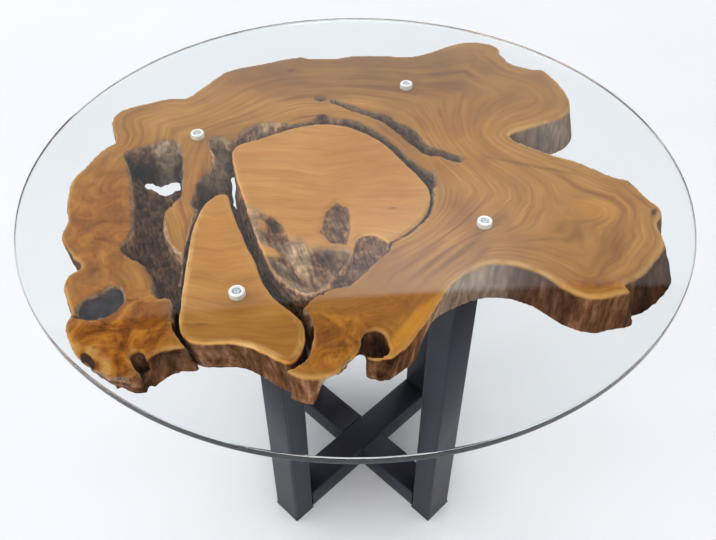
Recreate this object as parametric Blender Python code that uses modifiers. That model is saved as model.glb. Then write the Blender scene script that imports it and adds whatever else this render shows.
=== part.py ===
"""Coffee table with a round glass top over a slice of tree root, on a crossed steel frame.

Metres, +Z up. The origin is on the floor under the middle of the glass. +X is to the
right and +Y is away from someone who faces the front of the table.
"""

import math

import bmesh
import bpy
from mathutils import Matrix, Vector

MM = 0.001

# Heights and clearances
TABLE_HEIGHT = 485 * MM
REST_GAP = 0.3 * MM
SEAM_GAP = 1.5 * MM
HOLE_CLEARANCE = 0.5 * MM

# Glass top
GLASS_RADIUS = 328 * MM
GLASS_THICKNESS = 8 * MM
GLASS_EDGE_RADIUS = 1.5 * MM
GLASS_LIFT_AXIS = (0.0, 0.0)

# Wood: spacing of the grid that the outlines are drawn on, and the heights
SLAB_GRID = 0.93 * MM
SLAB_THICKNESS = 50 * MM
SLAB_EDGE = 2 * MM

# Clear bumpers under the glass and their screws
BUMPER_RADIUS = 7.5 * MM
BUMPER_TOP_RADIUS = 6.8 * MM
BUMPER_HEIGHT = 6 * MM
BUMPER_SINK_DEPTH = 2.5 * MM
BUMPER_SCREW_HEAD_RADIUS = 3.2 * MM
BUMPER_SCREW_HEAD_HEIGHT = 1.7 * MM
BUMPER_SCREW_SHANK_RADIUS = 1.6 * MM
BUMPER_SCREW_LENGTH = 18 * MM

# Steel frame of rectangular tube
TUBE_WIDTH = 40 * MM
TUBE_DEPTH = 30 * MM
TUBE_WALL = 2 * MM
TUBE_CORNER_RADIUS = 3 * MM
FRAME_REACH = 142.5 * MM
FRAME_CENTRE = (8 * MM, -5 * MM)
FRAME_TURN = math.radians(45)
FOOT_HEIGHT = 3 * MM
FOOT_PLUG_HEIGHT = 12 * MM

# Screws that hold the wood on the frame
FRAME_SCREW_NEAR = 50 * MM
FRAME_SCREW_END_MARGIN = 14.5 * MM
FRAME_SCREW_HEAD_RADIUS = 4.5 * MM
FRAME_SCREW_HEAD_HEIGHT = 2.8 * MM
FRAME_SCREW_SHANK_RADIUS = 2.2 * MM
FRAME_SCREW_LENGTH = 25 * MM
FRAME_DRIVER_HOLE_RADIUS = 6 * MM

# Flat straps under the wood, across the crevices
STRAP_LENGTH = 100 * MM
STRAP_WIDTH = 24 * MM
STRAP_THICKNESS = 3 * MM
STRAP_END_MARGIN = 10 * MM
STRAP_SCREW_PITCH = 18 * MM
STRAP_SCREW_HEAD_RADIUS = 4 * MM
STRAP_SCREW_HEAD_HEIGHT = 2.5 * MM
STRAP_SCREW_SHANK_RADIUS = 2 * MM
STRAP_SCREW_LENGTH = 20 * MM

# Roundness
OUTLINE_STEPS = 2
GLASS_STEPS = 96
BUMPER_STEPS = 24
SCREW_STEPS = 12
CORNER_STEPS = 3

# Heights and a radius that follow from the sizes above
GLASS_UNDERSIDE = TABLE_HEIGHT - GLASS_THICKNESS
BUMPER_TOP = GLASS_UNDERSIDE - REST_GAP
BUMPER_UNDERSIDE = BUMPER_TOP - BUMPER_HEIGHT
SLAB_TOP = BUMPER_UNDERSIDE - REST_GAP
SLAB_UNDERSIDE = SLAB_TOP - SLAB_THICKNESS
FRAME_TOP = SLAB_UNDERSIDE - REST_GAP
LEG_FOOT = FOOT_HEIGHT + REST_GAP
TUBE_INNER_RADIUS = max(TUBE_CORNER_RADIUS - TUBE_WALL, 0.5 * MM)

# Outlines of the wood at its top face, clockwise from above, in steps of the grid
ROOT_OUTLINE = (
    # front of the left lobe, from the wedge to the outer corner
    (-142, -220), (-149, -232), (-157, -233), (-166, -234), (-174, -238), (-180, -244),
    (-184, -251), (-187, -258), (-190, -264), (-197, -268), (-206, -269), (-216, -265),
    (-227, -260), (-235, -252), (-243, -246), (-250, -238),
    # left side of the left lobe
    (-257, -224), (-263, -211), (-265, -200), (-262, -194), (-267, -183), (-272, -172),
    (-277, -161), (-280, -149), (-276, -138), (-268, -130), (-279, -117), (-289, -104),
    (-297, -91), (-300, -80), (-298, -67), (-302, -51), (-307, -31), (-310, -7),
    (-311, 7), (-303, 27), (-296, 47), (-288, 64), (-279, 74),
    # upper left arm
    (-286, 98), (-291, 115), (-291, 127), (-284, 141), (-269, 151), (-252, 158),
    (-238, 165), (-223, 168), (-211, 168), (-198, 185), (-186, 203), (-178, 217),
    (-164, 232), (-150, 240), (-136, 245), (-118, 251), (-102, 258), (-87, 263),
    (-71, 267), (-62, 263), (-40, 262), (-20, 264), (-6, 269),
    # back, to the upper right lobe
    (16, 271), (47, 269), (70, 267), (92, 274), (107, 283), (120, 292),
    (136, 300), (150, 305), (164, 305), (178, 301), (189, 294), (195, 284),
    (194, 273), (200, 261), (203, 250), (214, 242), (226, 236), (236, 233),
    (242, 234), (250, 221), (257, 205), (263, 182), (265, 162), (262, 143),
    (253, 129), (238, 118), (214, 107), (196, 99), (185, 93),
    # notch, and the right lobe
    (181, 86), (186, 77), (203, 64), (217, 54), (236, 44), (254, 34),
    (271, 19), (285, 9), (297, 5), (304, -6), (309, -20), (315, -33),
    (321, -44), (319, -56), (312, -66), (310, -77), (312, -89), (309, -101),
    (301, -114), (292, -125), (283, -136), (275, -144), (266, -150), (259, -154),
    (257, -158), (261, -163), (254, -167), (246, -169), (236, -172), (222, -174),
    (209, -169), (198, -161), (188, -150), (178, -140),
    # front bay and the nub
    (167, -133), (155, -128), (143, -126), (131, -127), (119, -132), (108, -139),
    (99, -148), (91, -157), (84, -169), (76, -183), (68, -197), (59, -213),
    (47, -230), (39, -239), (31, -245), (22, -248), (13, -247), (8, -243), (5, -238),
    # front lobe, and back through the place of the wedge
    (1, -241), (-3, -246), (-8, -253), (-14, -260), (-22, -264), (-31, -266),
    (-42, -267), (-53, -264), (-61, -257), (-66, -240), (-92, -221), (-126, -214),
)
CORE_OUTLINE = (
    (-139, 67), (-129, 74), (-114, 81), (-100, 89), (-86, 97), (-72, 104),
    (-58, 109), (-43, 112), (-28, 111), (-12, 108), (2, 100), (15, 91),
    (27, 80), (37, 68), (47, 52), (56, 36), (65, 21), (73, 7),
    (79, -6), (81, -20), (80, -34), (76, -48), (69, -61), (60, -73),
    (48, -85), (35, -94), (23, -107), (10, -123), (-3, -141), (-16, -153),
    (-30, -162), (-43, -168), (-55, -165), (-67, -154), (-79, -140), (-87, -125),
    (-93, -108), (-100, -90), (-106, -70), (-113, -49), (-119, -29), (-126, -8),
    (-132, 12), (-137, 33), (-141, 52),
)
WEDGE_OUTLINE = (
    (-143, -17), (-136, -20), (-132, -34), (-127, -50), (-121, -67), (-114, -85),
    (-107, -102), (-100, -118), (-94, -134), (-88, -150), (-80, -165), (-69, -178),
    (-57, -190), (-48, -202), (-45, -214), (-45, -228), (-49, -241), (-56, -250),
    (-66, -248), (-79, -240), (-93, -233), (-107, -228), (-123, -228), (-140, -228),
    (-151, -224), (-158, -215), (-162, -200), (-164, -182), (-165, -160), (-166, -138),
    (-167, -116), (-168, -94), (-168, -76), (-166, -57), (-162, -40), (-154, -25),
)

# Hollows and cracks in the root: outline, and depth below the top face (None: right through)
BARK_BAND = (
    (-262, 50), (-254, 60), (-243, 65), (-231, 72), (-220, 79), (-209, 77),
    (-202, 66), (-197, 48), (-192, 22), (-189, 0), (-188, -20), (-192, -31),
    (-198, -42), (-201, -54), (-198, -66), (-194, -80), (-189, -94), (-183, -103),
    (-175, -110), (-171, -124), (-170, -146), (-170, -164), (-178, -171), (-188, -169),
    (-192, -156), (-196, -141), (-206, -127), (-219, -118), (-230, -108), (-232, -97),
    (-228, -84), (-230, -66), (-233, -48), (-238, -24), (-243, -2), (-249, 18), (-257, 38),
)
BAND_HOLE = (
    (-248, 64), (-238, 59), (-230, 56), (-225, 59), (-219, 64), (-211, 64), (-203, 50),
    (-201, 26), (-208, 17), (-214, 14), (-220, 18), (-227, 24), (-237, 30), (-247, 44),
)
SIDE_POCKET = (
    (-170, 79), (-163, 86), (-154, 84), (-147, 75), (-138, 66), (-128, 40),
    (-122, 8), (-122, -16), (-140, -26), (-160, -36), (-168, -44), (-171, -20),
    (-171, -4), (-166, 12), (-160, 25), (-158, 37), (-160, 50), (-166, 64),
)
SIDE_SLOT = (
    (-149, 72), (-139, 74), (-134, 40), (-126, 4), (-126, -6), (-134, -4), (-139, 15), (-143, 36), (-146, 52),
)
UPPER_CREVICE = (
    (-144, 60), (-139, 78), (-131, 95), (-120, 107), (-107, 113), (-91, 112),
    (-74, 108), (-60, 113), (-48, 118), (-43, 127), (-36, 127), (-29, 119),
    (-15, 118), (-3, 117), (9, 108), (22, 96), (33, 83), (42, 69),
    (52, 55), (60, 42), (68, 28), (78, 18), (88, 14), (85, 4),
    (84, -9), (66, -6), (36, 38), (0, 78), (-56, 92), (-120, 60),
)
UPPER_CRACK = (
    (25, 131), (36, 128), (47, 115), (59, 105), (69, 96), (75, 82),
    (82, 67), (92, 59), (104, 53), (113, 47), (121, 43), (121, 37),
    (110, 38), (102, 44), (92, 50), (82, 50), (73, 59), (64, 72),
    (56, 86), (47, 98), (38, 110), (27, 120), (12, 131), (-4, 140),
    (-20, 152), (-36, 160), (-52, 166), (-34, 164), (-17, 156), (0, 145), (14, 138),
)
WEDGE_GAP = (
    (-142, -24), (-128, -2), (-114, -28), (-101, -70), (-88, -108), (-74, -140),
    (-58, -158), (-40, -160), (-44, -176), (-58, -186), (-82, -172), (-98, -140),
    (-112, -104), (-128, -60),
)
FRONT_SEAM = (
    (-72, -170), (-58, -178), (-48, -188), (-42, -200), (-39, -213), (-39, -227),
    (-42, -239), (-46, -247), (-53, -253), (-62, -256), (-70, -260), (-72, -250),
    (-56, -238), (-54, -222), (-58, -206), (-72, -186),
)
LEFT_SEAM = (
    (-172, -158), (-171, -180), (-169, -196), (-165, -208), (-160, -218), (-154, -226),
    (-148, -232), (-141, -242), (-136, -226), (-152, -210), (-158, -184), (-160, -158),
)
LEFT_HOLLOW = (
    (-258, -184), (-252, -174), (-244, -169), (-236, -163), (-231, -157), (-223, -159),
    (-219, -166), (-217, -174), (-221, -185), (-228, -194), (-240, -197), (-252, -194),
)
KNOT_HOLE = (
    (18, -212), (25, -217), (28, -227), (29, -236), (23, -242), (15, -242),
    (9, -241), (3, -243), (3, -237), (6, -230), (6, -222), (10, -215),
)
TOE_HOLE = (
    (-195, -236), (-189, -238), (-185, -244), (-184, -254), (-190, -256), (-193, -250), (-198, -243),
)
TIP_POCKET = (
    (-1, -98), (3, -89), (12, -84), (22, -86), (31, -94), (36, -104),
    (26, -114), (13, -131), (0, -148), (-13, -158), (-25, -154), (-15, -138), (-7, -122), (-2, -110),
)
ROOT_CUTS = (
    ("bark_band", BARK_BAND, 26 * MM),
    ("band_hole", BAND_HOLE, None),
    ("side_pocket", SIDE_POCKET, 24 * MM),
    ("side_slot", SIDE_SLOT, None),
    ("upper_crevice", UPPER_CREVICE, 22 * MM),
    ("upper_crack", UPPER_CRACK, 15 * MM),
    ("wedge_gap", WEDGE_GAP, 30 * MM),
    ("front_seam", FRONT_SEAM, None),
    ("left_seam", LEFT_SEAM, 34 * MM),
    ("left_hollow", LEFT_HOLLOW, 13 * MM),
    ("knot_hole", KNOT_HOLE, 32 * MM),
    ("toe_hole", TOE_HOLE, 18 * MM),
    ("tip_pocket", TIP_POCKET, 18 * MM),
)

# Cuts that slant: outlines at the top face (head) and at the underside (foot).
# The hollow below the right edge of the front lobe
UNDERCUT_HEAD = (
    (-27, -271), (-22, -267), (-14, -263), (-8, -256), (-3, -249), (1, -244),
    (5, -241), (8, -242), (8, -280), (8, -340), (-27, -340),
)
UNDERCUT_FOOT = (
    (-37, -236), (-31, -226), (-22, -219), (-13, -212), (-6, -205), (0, -200),
    (5, -197), (8, -198), (8, -250), (8, -310), (-37, -310),
)
# The slit beside the toe of the left lobe
SLIT_HEAD = ((-184, -246), (-188, -248), (-163, -305), (-159, -303))
SLIT_FOOT = ((-201, -206), (-205, -208), (-165, -300), (-161, -298))
SLANTED_CUTS = (
    ("front_undercut", UNDERCUT_HEAD, UNDERCUT_FOOT),
    ("toe_slit", SLIT_HEAD, SLIT_FOOT),
)

# How the sides lean: middle and reach in steps, and the shift of the underside there
LEANS = (
    (300, -115, 85, (22.5 * MM, 0.0)),
    (270, 160, 60, (11 * MM, 0.0)),
    (-195, -255, 75, (3 * MM, 13 * MM)),
    (-240, -250, 34, (10 * MM, 10 * MM)),
    (-285, -106, 26, (7 * MM, 7 * MM)),
    (-205, -268, 26, (-3 * MM, 9 * MM)),
    (-108, -232, 50, (0.0, 9 * MM)),
    (28, -240, 34, (-4 * MM, 12 * MM)),
    (12, -247, 16, (3 * MM, 8 * MM)),
    (-46, -266, 22, (0.0, 8 * MM)),
    (82, -172, 40, (-9 * MM, 7 * MM)),
)

# Places in steps: bumpers (name, wood below, middle) and straps (name, middle, direction, woods)
BUMPERS = (
    ("back", "root_slab", (64, 189)),
    ("left", "root_slab", (-183, 84)),
    ("right", "root_slab", (132, -71)),
    ("front", "wedge_piece", (-111, -169)),
)
STRAPS = (
    ("front", (-45, -186), 30, ("wedge_piece", "root_slab")),
    ("left", (-163, -193), 0, ("root_slab", "wedge_piece")),
    ("back", (5, 110), 90, ("core_piece", "root_slab")),
)
ARMS = (
    ("back_right", 0, ("core_piece", "root_slab")),
    ("back_left", 90, ("core_piece", "core_piece")),
    ("front_left", 180, ("core_piece", "core_piece")),
    ("front_right", 270, ("core_piece", "root_slab")),
)

parts = None
cutters = None
materials = {}


def clear_scene():
    """Empties the scene and makes the two collections."""
    global parts, cutters
    for item in list(bpy.data.objects):
        bpy.data.objects.remove(item, do_unlink=True)
    parts = bpy.data.collections.new("tree_slab_coffee_table")
    cutters = bpy.data.collections.new("cutters")
    for collection in (parts, cutters):
        bpy.context.scene.collection.children.link(collection)


def material(name, colour, roughness, metallic=0.0, transmission=0.0):
    """The named material, made once."""
    if name not in materials:
        made = bpy.data.materials.new(name)
        made.use_nodes = True
        shader = made.node_tree.nodes["Principled BSDF"]
        shader.inputs["Base Color"].default_value = (*colour, 1.0)
        shader.inputs["Roughness"].default_value = roughness
        shader.inputs["Metallic"].default_value = metallic
        shader.inputs["Transmission Weight"].default_value = transmission
        materials[name] = made
    return materials[name]


def clear_glass():
    return material("clear_glass", (0.86, 0.97, 0.94), 0.02, transmission=1.0)


def clear_plastic():
    return material("clear_plastic", (0.93, 0.94, 0.95), 0.2, transmission=0.7)


def root_wood():
    return material("root_wood", (0.45, 0.26, 0.12), 0.5)


def core_wood():
    return material("core_wood", (0.55, 0.31, 0.13), 0.5)


def black_steel():
    return material("black_steel", (0.02, 0.02, 0.023), 0.45)


def bright_steel():
    return material("bright_steel", (0.55, 0.55, 0.57), 0.3, metallic=1.0)


def black_plastic():
    return material("black_plastic", (0.03, 0.03, 0.03), 0.6)


def add_part(name, data, look):
    """A part object with its own material."""
    item = bpy.data.objects.new(name, data)
    parts.objects.link(item)
    data.materials.clear()
    data.materials.append(look)
    return item


def add_cutter(name, data):
    """A helper that only cuts, left out of renders."""
    item = bpy.data.objects.new(name, data)
    cutters.objects.link(item)
    item.hide_render = True
    item.display_type = "WIRE"
    return item


def meshed(item):
    """A closed mesh of the object's evaluated shape. The object is removed."""
    graph = bpy.context.evaluated_depsgraph_get()
    mesh = bpy.data.meshes.new_from_object(item.evaluated_get(graph))
    mesh.name = item.name
    mesh.transform(item.matrix_world)
    bpy.data.objects.remove(item, do_unlink=True)
    shape = bmesh.new()
    shape.from_mesh(mesh)
    bmesh.ops.remove_doubles(shape, verts=shape.verts, dist=0.002 * MM)
    bmesh.ops.recalc_face_normals(shape, faces=shape.faces)
    shape.to_mesh(mesh)
    shape.free()
    return mesh


def flat_curve(name, half_thickness):
    """An empty 2D curve that fills its outlines and gives them a thickness."""
    curve = bpy.data.curves.new(name, "CURVE")
    curve.dimensions = "2D"
    curve.fill_mode = "BOTH"
    curve.extrude = half_thickness
    return curve


def add_polygon(curve, points):
    """A closed outline of straight sides."""
    spline = curve.splines.new("POLY")
    spline.points.add(len(points) - 1)
    for place, (x, y) in zip(spline.points, points):
        place.co = (x, y, 0.0, 1.0)
    spline.use_cyclic_u = True


def circle_points(x, y, radius):
    """A closed round outline."""
    turns = [math.tau * i / SCREW_STEPS for i in range(SCREW_STEPS)]
    return [(x + radius * math.cos(turn), y + radius * math.sin(turn)) for turn in turns]


def rounded_box_points(width, depth, radius):
    """A rectangle with round corners, anticlockwise."""
    points = []
    for quarter, (side_x, side_y) in enumerate(((1, 1), (-1, 1), (-1, -1), (1, -1))):
        for step in range(CORNER_STEPS + 1):
            turn = math.pi / 2 * (quarter + step / CORNER_STEPS)
            x = side_x * (width / 2 - radius) + radius * math.cos(turn)
            y = side_y * (depth / 2 - radius) + radius * math.sin(turn)
            points.append((x, y))
    return points


def lean_at(x, y):
    """The shift of the underside of the wood below this point of the top face."""
    total = Vector((0.0, 0.0))
    for middle_x, middle_y, reach, shift in LEANS:
        away = Vector((x / SLAB_GRID - middle_x, y / SLAB_GRID - middle_y)).length / reach
        total += Vector(shift) * math.exp(-(away * away))
    return total


def is_level(face, height):
    """Whether all of a face lies at this height."""
    return all(abs(place.co.z - height) < 0.01 * MM for place in face.verts)


def wood_mesh(name, outline, low, high, grow=0.0, edge=0.0):
    """A prism of wood with a smooth outline and leaning sides."""
    curve = flat_curve(name, (high - low) / 2 - edge)
    curve.resolution_u = OUTLINE_STEPS
    curve.bevel_depth = edge
    curve.bevel_resolution = 0
    curve.offset = grow - edge
    spline = curve.splines.new("BEZIER")
    spline.bezier_points.add(len(outline) - 1)
    for place, (x, y) in zip(spline.bezier_points, outline):
        place.co = (x * SLAB_GRID, y * SLAB_GRID, 0.0)
        place.handle_left_type = "AUTO"
        place.handle_right_type = "AUTO"
    spline.use_cyclic_u = True
    item = add_cutter(name, curve)
    item.location.z = (low + high) / 2
    mesh = meshed(item)
    shape = bmesh.new()
    shape.from_mesh(mesh)
    for height in (low, high):
        cap = [face for face in shape.faces if is_level(face, height)]
        bmesh.ops.dissolve_faces(shape, faces=cap)
    for place in shape.verts:
        depth = (SLAB_TOP - place.co.z) / SLAB_THICKNESS
        shift = lean_at(place.co.x, place.co.y) * depth
        place.co.x += shift.x
        place.co.y += shift.y
    shape.to_mesh(mesh)
    shape.free()
    return mesh


def slanted_mesh(name, head_outline, foot_outline, low, high):
    """A block whose outline changes on the way down."""
    shape = bmesh.new()
    rings = []
    for height in (low, high):
        depth = (SLAB_TOP - height) / SLAB_THICKNESS
        ring = []
        for head, foot in zip(head_outline, foot_outline):
            place = Vector(head).lerp(Vector(foot), depth) * SLAB_GRID
            ring.append(shape.verts.new((place.x, place.y, height)))
        shape.faces.new(ring)
        rings.append(ring)
    lower, upper = rings
    for index in range(len(lower)):
        shape.faces.new((lower[index - 1], lower[index], upper[index], upper[index - 1]))
    bmesh.ops.triangulate(shape, faces=shape.faces)
    bmesh.ops.recalc_face_normals(shape, faces=shape.faces)
    mesh = bpy.data.meshes.new(name)
    shape.to_mesh(mesh)
    shape.free()
    return mesh


def cut(item, cutter):
    """Takes the cutter's shape out of the item."""
    step = item.modifiers.new(cutter.name, "BOOLEAN")
    step.operation = "DIFFERENCE"
    step.solver = "EXACT"
    step.object = cutter


def cylinder_cutter(name, place, low, high, radius):
    """An upright round cutter between two heights."""
    mesh = bpy.data.meshes.new(name)
    shape = bmesh.new()
    bmesh.ops.create_cone(
        shape,
        cap_ends=True,
        segments=SCREW_STEPS,
        radius1=radius,
        radius2=radius,
        depth=high - low,
        matrix=Matrix.Translation((place[0], place[1], (low + high) / 2)),
    )
    shape.to_mesh(mesh)
    shape.free()
    return add_cutter(name, mesh)


def turned_mesh(name, profile, steps):
    """A solid turned about Z from a profile that runs from the top to the bottom."""
    mesh = bpy.data.meshes.new(name)
    points = [(radius, 0.0, height) for radius, height in profile]
    mesh.from_pydata(points, [(i, i + 1) for i in range(len(points) - 1)], [])
    item = add_cutter(name, mesh)
    turn = item.modifiers.new("turn", "SCREW")
    turn.steps = steps
    turn.render_steps = steps
    turn.use_merge_vertices = True
    turn.merge_threshold = 0.01 * MM
    return meshed(item)


def screw_mesh(name, shank_radius, length, head_radius, head_height):
    """A wood screw that points up, with the underside of its head at zero and a cross recess."""
    blank = turned_mesh(
        name + "_blank",
        (
            (0.0, length),
            (shank_radius * 0.3, length - shank_radius * 0.6),
            (shank_radius, length - shank_radius * 3),
            (shank_radius, 0.0),
            (head_radius, 0.0),
            (head_radius * 0.92, -head_height * 0.6),
            (head_radius * 0.6, -head_height),
            (0.0, -head_height),
        ),
        SCREW_STEPS,
    )
    item = add_cutter(name, blank)
    arm = head_radius * 0.5
    half = head_radius * 0.15
    end = half * 0.7
    cross = flat_curve(name + "_recess", head_height * 0.5)
    add_polygon(
        cross,
        (
            (arm, end), (half, half), (end, arm), (-end, arm), (-half, half), (-arm, end),
            (-arm, -end), (-half, -half), (-end, -arm), (end, -arm), (half, -half), (arm, -end),
        ),
    )
    tool = add_cutter(name + "_recess", cross)
    tool.location.z = -head_height
    recess = add_cutter(name + "_recess_tool", meshed(tool))
    cut(item, recess)
    mesh = meshed(item)
    bpy.data.objects.remove(recess, do_unlink=True)
    return mesh


def frame_direction(turn_degrees):
    """The direction of one arm of the frame, seen from above."""
    turn = FRAME_TURN + math.radians(turn_degrees)
    return Vector((math.cos(turn), math.sin(turn), 0.0))


def frame_point(direction, distance, height):
    """A point on one arm of the frame."""
    middle = Vector((*FRAME_CENTRE, height))
    return middle + direction * distance


def tube_mesh(name, length):
    """A length of rectangular tube along Z, wide in X."""
    curve = flat_curve(name, length / 2)
    add_polygon(curve, rounded_box_points(TUBE_WIDTH, TUBE_DEPTH, TUBE_CORNER_RADIUS))
    inner_width = TUBE_WIDTH - 2 * TUBE_WALL
    inner_depth = TUBE_DEPTH - 2 * TUBE_WALL
    add_polygon(curve, rounded_box_points(inner_width, inner_depth, TUBE_INNER_RADIUS))
    return meshed(add_cutter(name, curve))


def make_leg(name, direction):
    """One upright tube at the end of an arm."""
    mesh = tube_mesh(name, FRAME_TOP - LEG_FOOT)
    place = frame_point(direction, FRAME_REACH - TUBE_DEPTH / 2, (FRAME_TOP + LEG_FOOT) / 2)
    up = Vector((0.0, 0.0, 1.0))
    across = direction.cross(up)
    turn = Matrix((across, direction, up)).transposed().to_4x4()
    mesh.transform(Matrix.Translation(place) @ turn)
    return add_part(name, mesh, black_steel())


def make_foot(name, direction):
    """The insert that closes the foot of a leg, with a plug inside the tube."""
    mesh = bpy.data.meshes.new(name)
    shape = bmesh.new()
    bmesh.ops.create_cube(shape, size=1.0)
    bmesh.ops.scale(shape, verts=shape.verts, vec=(TUBE_WIDTH, TUBE_DEPTH, FOOT_HEIGHT))
    top = max(shape.faces, key=lambda face: face.calc_center_median().z)
    margin = TUBE_WALL + HOLE_CLEARANCE + 0.3 * TUBE_INNER_RADIUS
    bmesh.ops.inset_region(shape, faces=[top], thickness=margin, use_even_offset=True)
    plug = bmesh.ops.extrude_face_region(shape, geom=[top])
    raised = [piece for piece in plug["geom"] if isinstance(piece, bmesh.types.BMVert)]
    bmesh.ops.translate(shape, verts=raised, vec=(0.0, 0.0, FOOT_PLUG_HEIGHT))
    bmesh.ops.delete(shape, geom=[top], context="FACES_ONLY")
    bmesh.ops.recalc_face_normals(shape, faces=shape.faces)
    shape.to_mesh(mesh)
    shape.free()
    place = frame_point(direction, FRAME_REACH - TUBE_DEPTH / 2, FOOT_HEIGHT / 2)
    up = Vector((0.0, 0.0, 1.0))
    turn = Matrix((direction.cross(up), direction, up)).transposed().to_4x4()
    mesh.transform(Matrix.Translation(place) @ turn)
    return add_part(name, mesh, black_plastic())


def make_rail(name, direction, near, far, height):
    """One lying tube of the cross, between two distances along its arm."""
    mesh = tube_mesh(name, far - near)
    place = frame_point(direction, (near + far) / 2, height)
    up = Vector((0.0, 0.0, 1.0))
    across = up.cross(direction)
    turn = Matrix((across, up, direction)).transposed().to_4x4()
    mesh.transform(Matrix.Translation(place) @ turn)
    return add_part(name, mesh, black_steel())


def make_cross(prefix, height):
    """The three tubes of one cross, by the arm that each serves."""
    end = FRAME_REACH - TUBE_DEPTH - REST_GAP
    start = TUBE_WIDTH / 2 + REST_GAP
    long_rail = make_rail(prefix + "_long", frame_direction(0), -end, end, height)
    left_rail = make_rail(prefix + "_back_left", frame_direction(90), start, end, height)
    right_rail = make_rail(prefix + "_front_right", frame_direction(270), start, end, height)
    return {
        "back_right": long_rail,
        "front_left": long_rail,
        "back_left": left_rail,
        "front_right": right_rail,
    }


def make_frame():
    """Legs, feet and both crosses. Returns the rail under the wood for each arm."""
    for arm, turn, _ in ARMS:
        make_leg("leg_" + arm, frame_direction(turn))
        make_foot("foot_cap_" + arm, frame_direction(turn))
    make_cross("bottom_rail", LEG_FOOT + TUBE_DEPTH / 2)
    return make_cross("top_rail", FRAME_TOP - TUBE_DEPTH / 2)


def make_wood():
    """The three sections of root, each by its name."""
    woods = {}
    for name, outline, look in (
        ("root_slab", ROOT_OUTLINE, root_wood()),
        ("core_piece", CORE_OUTLINE, core_wood()),
        ("wedge_piece", WEDGE_OUTLINE, core_wood()),
    ):
        mesh = wood_mesh(name, outline, SLAB_UNDERSIDE, SLAB_TOP, edge=SLAB_EDGE)
        woods[name] = add_part(name, mesh, look)
    over = SLAB_TOP + SLAB_EDGE
    under = SLAB_UNDERSIDE - SLAB_EDGE
    for name, outline in (("core_seat", CORE_OUTLINE), ("wedge_seat", WEDGE_OUTLINE)):
        seat = add_cutter(name, wood_mesh(name, outline, under, over, grow=SEAM_GAP))
        cut(woods["root_slab"], seat)
    for name, head, foot in SLANTED_CUTS:
        slant = add_cutter(name, slanted_mesh(name, head, foot, under, over))
        cut(woods["root_slab"], slant)
    for name, outline, depth in ROOT_CUTS:
        floor = under if depth is None else SLAB_TOP - depth
        hollow = add_cutter(name, wood_mesh(name, outline, floor, over))
        cut(woods["root_slab"], hollow)
        if outline is TIP_POCKET:
            cut(woods["core_piece"], hollow)
    return woods


def make_glass():
    """The round top with softened edges, turned about its lift axis."""
    flat = GLASS_RADIUS - GLASS_EDGE_RADIUS
    soft = GLASS_EDGE_RADIUS * (1 - math.sqrt(0.5))
    profile = (
        (0.0, GLASS_THICKNESS),
        (flat, GLASS_THICKNESS),
        (GLASS_RADIUS - soft, GLASS_THICKNESS - soft),
        (GLASS_RADIUS, GLASS_THICKNESS - GLASS_EDGE_RADIUS),
        (GLASS_RADIUS, GLASS_EDGE_RADIUS),
        (GLASS_RADIUS - soft, soft),
        (flat, 0.0),
        (0.0, 0.0),
    )
    item = add_part("glass_top", turned_mesh("glass_top", profile, GLASS_STEPS), clear_glass())
    item.location = (*GLASS_LIFT_AXIS, GLASS_UNDERSIDE)


def make_bumpers(woods):
    """Clear bumpers, each held by a screw in the wood below it."""
    hole = BUMPER_SCREW_SHANK_RADIUS + HOLE_CLEARANCE
    sink = BUMPER_SCREW_HEAD_RADIUS + HOLE_CLEARANCE
    floor = BUMPER_HEIGHT - BUMPER_SINK_DEPTH
    rim = (sink + BUMPER_TOP_RADIUS) / 2
    soft = 0.5 * MM
    profile = (
        (sink, floor),
        (sink, BUMPER_HEIGHT - soft),
        (rim - soft, BUMPER_HEIGHT),
        (rim + soft, BUMPER_HEIGHT),
        (BUMPER_TOP_RADIUS, BUMPER_HEIGHT - soft),
        (BUMPER_RADIUS, soft),
        (BUMPER_RADIUS - soft, 0.0),
        (hole, 0.0),
        (hole, floor),
        (sink, floor),
    )
    bumper = turned_mesh("bumper", profile, BUMPER_STEPS)
    screw = screw_mesh(
        "bumper_screw",
        BUMPER_SCREW_SHANK_RADIUS,
        BUMPER_SCREW_LENGTH,
        BUMPER_SCREW_HEAD_RADIUS,
        BUMPER_SCREW_HEAD_HEIGHT,
    )
    seat = BUMPER_UNDERSIDE + floor + REST_GAP
    for name, wood, (x, y) in BUMPERS:
        place = (x * SLAB_GRID, y * SLAB_GRID)
        ring = add_part("bumper_" + name, bumper, clear_plastic())
        ring.location = (*place, BUMPER_UNDERSIDE)
        pin = add_part("bumper_screw_" + name, screw, bright_steel())
        pin.location = (*place, seat)
        pin.rotation_euler.x = math.pi
        low = seat - BUMPER_SCREW_LENGTH - HOLE_CLEARANCE
        high = SLAB_TOP + SLAB_EDGE
        cut(woods[wood], cylinder_cutter("bumper_pilot_" + name, place, low, high, hole))


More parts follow.
